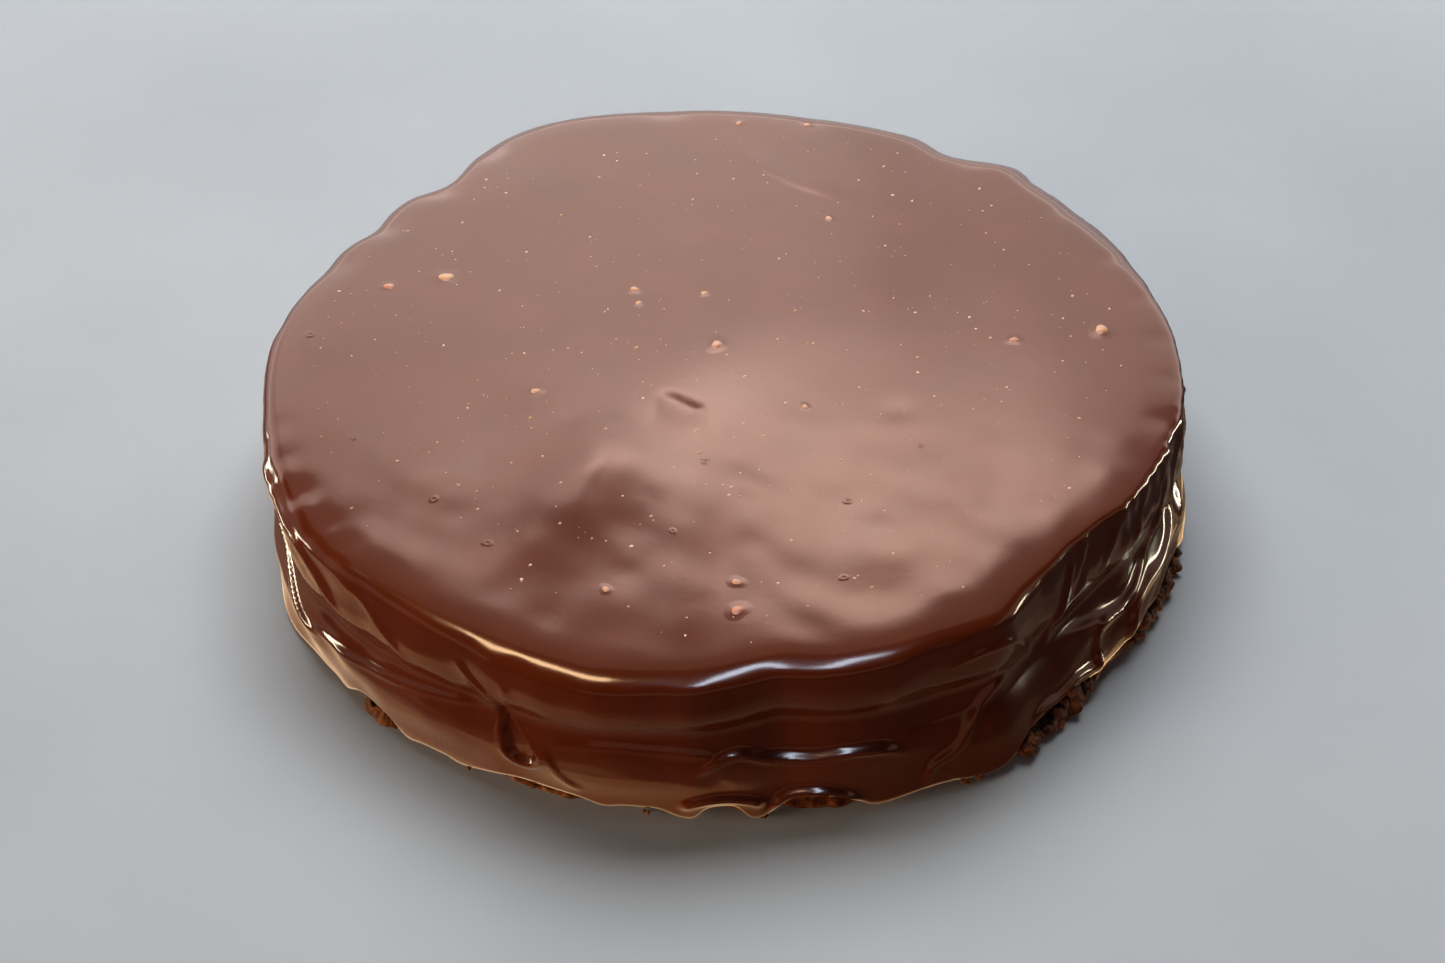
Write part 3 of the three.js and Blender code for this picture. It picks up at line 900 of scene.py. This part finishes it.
def glaze_material():
    """Dark red-brown gloss, a little cloudy and grainy."""
    nodes = Nodes("chocolate_glaze")
    cloud = nodes.noise(38, detail=4)
    colour = nodes.ramp(cloud, [(0.3, (0.060, 0.0088, 0.0017)), (0.7, (0.080, 0.0122, 0.0027))])
    grain = nodes.noise(900, detail=2)
    colour = nodes.mix(nodes.span(grain, 0, 0.25, 0.55, 0.75), colour, (0.11, 0.018, 0.004))
    nodes.join(colour, nodes.shader.inputs["Base Color"])
    nodes.join(nodes.span(nodes.noise(26), 0.13, 0.18), nodes.shader.inputs["Roughness"])
    nodes.shader.inputs["IOR"].default_value = 1.4
    nodes.shader.inputs["Specular Tint"].default_value = (1.0, 0.61, 0.45, 1)
    nodes.bump(nodes.noise(480, detail=2), 0.00001)
    return nodes.material


def bubble_material(name, dark, light):
    """The skin of glaze over air. Its paler orange is partly its own colour and partly painted light: a
    painted glow through the thin skin and painted highlights.
    """
    nodes = Nodes(name)
    # Pale orange to tan: the thin skin's own colour with a painted glow and painted highlights mixed in.
    colour = nodes.ramp(nodes.noise(60, detail=1), [(0.4, dark), (0.62, light)])
    nodes.join(colour, nodes.shader.inputs["Base Color"])
    nodes.shader.inputs["Roughness"].default_value = 0.3
    return nodes.material


def crumb_material():
    """Dry chocolate sponge, with painted shade in its pores: the colour darkens where the bump sinks."""
    nodes = Nodes("chocolate_sponge")
    crumb = nodes.noise(420, detail=5, roughness=0.65)
    # Darkest where the bump is lowest: partly the crumb's own brown, partly painted shade in its pores.
    stops = [(0.32, (0.022, 0.006, 0.002)), (0.5, (0.11, 0.032, 0.009)), (0.68, (0.25, 0.088, 0.026))]
    nodes.join(nodes.ramp(crumb, stops), nodes.shader.inputs["Base Color"])
    nodes.join(nodes.span(nodes.noise(90), 0.5, 0.9), nodes.shader.inputs["Roughness"])
    nodes.shader.inputs["Specular IOR Level"].default_value = 0.05
    nodes.bump(crumb, 0.0006)
    return nodes.material


def floor_material():
    """Pale matt paper."""
    nodes = Nodes("pale_paper")
    cloud = nodes.noise(6, detail=6)
    colour = nodes.ramp(cloud, [(0.35, (0.385, 0.415, 0.43)), (0.65, (0.425, 0.455, 0.47))])
    nodes.join(colour, nodes.shader.inputs["Base Color"])
    nodes.shader.inputs["Roughness"].default_value = 0.85
    nodes.shader.inputs["Specular IOR Level"].default_value = 0
    return nodes.material


# ---------------- the stage

FLOOR_HALF = 6.0


def make_floor():
    """The floor. The gloss mirrors the cards that lie in it, and not the floor itself."""
    corners = [(x * FLOOR_HALF, y * FLOOR_HALF, 0) for x, y in ((-1, -1), (1, -1), (1, 1), (-1, 1))]
    mesh = bpy.data.meshes.new("floor")
    mesh.from_pydata(corners, [], [(0, 1, 2, 3)])
    floor = bpy.data.objects.new("floor", mesh)
    bpy.context.scene.collection.objects.link(floor)
    floor.data.materials.append(floor_material())
    floor.visible_glossy = False


DAYLIGHT = (0.97, 0.965, 1.0)
PAPER = (1.0, 0.93, 0.90)
CREAM = (0.86, 0.97, 0.80)
CANDLE = (0.95, 1.0, 0.72)
SKY = (0.33, 0.62, 1.0)
SAND = (1.0, 0.80, 0.60)
BRASS = (1.0, 0.62, 0.28)
EMBER = (1.0, 0.60, 0.40)

# Panels that only the gloss mirrors: name, place, size, radiance, colour and roll. They all face the cake.
PANELS = [
    ("back_wall", (0, 1.65, 1.06), (5.0, 0.74), 3.25, PAPER, 0),
    ("back_low", (0, 1.95, 0.50), (5.0, 0.80), 2.1, PAPER, 0),
    ("back_core", (-0.28, 1.65, 1.05), (0.9, 0.72), 1.1, PAPER, 0),
    ("back_crown", (-0.032, 1.51, 1.30), (0.28, 0.14), 1.6, PAPER, 0),
    ("back_band", (0.07, 1.468, 1.344), (0.62, 0.20), 3.5, PAPER, 0),
    ("back_window", (0.20, 1.389, 1.419), (0.46, 0.212), 8.2, PAPER, 0),
    ("back_left", (-0.22, 1.42, 1.37), (0.34, 0.16), 5.4, PAPER, 0),
    ("ceiling", (0, 1.3, 2.3), (3.6, 1.4), 0.8, PAPER, 0),
    ("front_wall", (0, -1.9, 0.75), (3.4, 0.7), 0.5, PAPER, 0),
    ("right_wall", (1.9, 0.2, 0.95), (2.6, 0.6), 0.9, PAPER, 0),
    ("left_wall", (-1.9, 0.2, 0.95), (2.6, 0.6), 0.7, PAPER, 0),
    ("right_low", (1.28, 0.22, 0.13), (0.62, 0.15), 50.0, CREAM, 0),
    ("left_low", (-1.25, 0.43, 0.13), (0.7, 0.15), 38.0, CREAM, 0),
    ("overhead_cool", (0.14, -0.30, 1.08), (0.50, 0.13), 60.0, SKY, 35),
    ("overhead_warm", (-0.47, -0.16, 1.03), (0.58, 0.13), 38.0, CANDLE, 45),
]
PANEL_AIM = (0, 0, 0.05)

# Round cards that lie face up in the floor and that only the gloss mirrors: name, middle, size, radiance and
# colour.
CARDS = [
    ("card_table", (0, 0.10), (1.3, 1.3), 0.04, DAYLIGHT),
    ("card_behind", (0, 1.05), (2.6, 1.75), 0.6, DAYLIGHT),
    ("card_far", (0, 1.4), (3.2, 1.9), 0.7, DAYLIGHT),
    ("card_wide", (0, 0), (0.36, 0.35), 0.18, BRASS),
    ("card_narrow", (0, 0), (0.33, 0.325), 0.30, BRASS),
    ("card_left_wide", (-0.05, 0.03), (0.38, 0.32), 0.5, SAND),
    ("card_left", (-0.03, 0.00), (0.34, 0.31), 1.2, BRASS),
    ("card_right_wide", (0.06, 0.04), (0.33, 0.31), 0.3, BRASS),
    ("card_right", (0.05, 0.03), (0.30, 0.28), 1.6, BRASS),
]

# Softboxes that light matt colour and are not mirrored: name, place, height aimed at, size, radiance, colour.
LAMPS = [
    ("overhead_soft", (0, 0.85, 1.5), 0, (1.6, 1.2), 7.4, DAYLIGHT),
    ("left_glow", (-2.2, -0.6, 0.34), 0.02, (1.2, 0.5), 22.0, SAND),
    ("front_glow", (-1.1, -2.0, 0.34), 0.02, (1.2, 0.5), 6.0, EMBER),
]
ROOM_COLOUR = (0.80, 0.88, 0.92)
ROOM_STRENGTH = 0.04


def soft_light(name, place, aim, size, radiance, colour, reach, roll=0, shape="RECTANGLE"):
    """A light that reaches gloss or matt colour alone. Its power follows from how bright its face looks."""
    light = bpy.data.lights.new(name, "AREA")
    light.shape = shape
    light.size, light.size_y = size
    fill = math.pi / 4 if shape == "ELLIPSE" else 1
    light.energy = radiance * math.pi * size[0] * size[1] * fill
    light.color = colour
    lamp = bpy.data.objects.new(name, light)
    lamp.location = place
    facing = (Vector(aim) - Vector(place)).to_track_quat("-Z", "Y")
    lamp.rotation_euler = (facing @ Quaternion((0, 0, 1), math.radians(roll))).to_euler()
    lamp.visible_camera = False
    lamp.visible_diffuse = reach == "matt"
    lamp.visible_glossy = reach == "gloss"
    bpy.context.scene.collection.objects.link(lamp)


def make_lights():
    """The panels and cards that the gloss mirrors, and the lamps for all else."""
    for name, place, size, radiance, colour, roll in PANELS:
        soft_light(name, place, PANEL_AIM, size, radiance, colour, "gloss", roll)
    for name, place, size, radiance, colour in CARDS:
        soft_light(name, (*place, 0), (*place, 1), size, radiance, colour, "gloss", shape="ELLIPSE")
    for name, place, aim, size, radiance, colour in LAMPS:
        soft_light(name, place, (0, 0, aim), size, radiance, colour, "matt")


def make_room():
    """A faint even light from all round."""
    world = bpy.data.worlds.new("studio")
    world.use_nodes = True
    background = world.node_tree.nodes["Background"]
    background.inputs["Color"].default_value = (*ROOM_COLOUR, 1)
    background.inputs["Strength"].default_value = ROOM_STRENGTH
    bpy.context.scene.world = world


CAMERA_PLACE = Vector((-0.00181, -0.54294, 0.47173))
CAMERA_DOWN = math.radians(41.11)
CAMERA_TURN = math.radians(0.107)
CAMERA_ROLL = math.radians(2.818)
CAMERA_LENS = 57.886  # millimetres, as the sensor's width
CAMERA_SENSOR = 36
CAMERA_NEAREST = 0.01  # metres


def make_camera():
    """Turned to its heading, tipped down, then rolled about its own axis."""
    level_part = math.cos(CAMERA_DOWN)
    heading = (math.sin(CAMERA_TURN), math.cos(CAMERA_TURN))
    forward = Vector((heading[0] * level_part, heading[1] * level_part, -math.sin(CAMERA_DOWN)))
    level = Vector((heading[1], -heading[0], 0))
    upright = level.cross(forward)
    right = level * math.cos(CAMERA_ROLL) - upright * math.sin(CAMERA_ROLL)
    up = right.cross(forward)
    camera = bpy.data.objects.new("camera", bpy.data.cameras.new("camera"))
    turned = Matrix((right, up, -forward)).transposed().to_4x4()
    camera.matrix_world = Matrix.Translation(CAMERA_PLACE) @ turned
    camera.data.lens = CAMERA_LENS
    camera.data.sensor_width = CAMERA_SENSOR
    camera.data.clip_start = CAMERA_NEAREST
    bpy.context.scene.collection.objects.link(camera)
    bpy.context.scene.camera = camera


# ---------------- the scene

def dress(piece, material, node):
    """Gives a piece its material and puts it in its node's place."""
    piece.data.materials.append(material)
    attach(piece, "root")
    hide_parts(node)


make_camera()
make_floor()
make_lights()
make_room()
bpy.context.scene.view_settings.view_transform = "Standard"

glaze = glaze_material()
# The blisters' and specks' pale orange and tan are partly painted glow and painted highlight over the thin
# skin's own paler colour.
blister = bubble_material("set_blister", (0.42, 0.13, 0.040), (0.52, 0.25, 0.10))
speck = bubble_material("set_bubble", (0.55, 0.26, 0.11), (0.74, 0.50, 0.32))
crumb = crumb_material()

dress(make_glaze(), glaze, "glaze")
dress(make_domes("glaze_pits", PITS, PIT_SHAPE, sides=18), glaze, "glaze")
dress(make_domes("glaze_collars", BLISTERS, COLLAR_SHAPE, sides=24), glaze, "glaze")
dress(make_domes("glaze_blisters", BLISTERS, BLISTER_SHAPE, sides=20), blister, "glaze")
dress(make_domes("glaze_specks", speck_places(), SPECK_SHAPE, sides=8), speck, "glaze")
dress(make_sponge(), crumb, "sponge")
dress(make_crumbs(), crumb, "sponge")
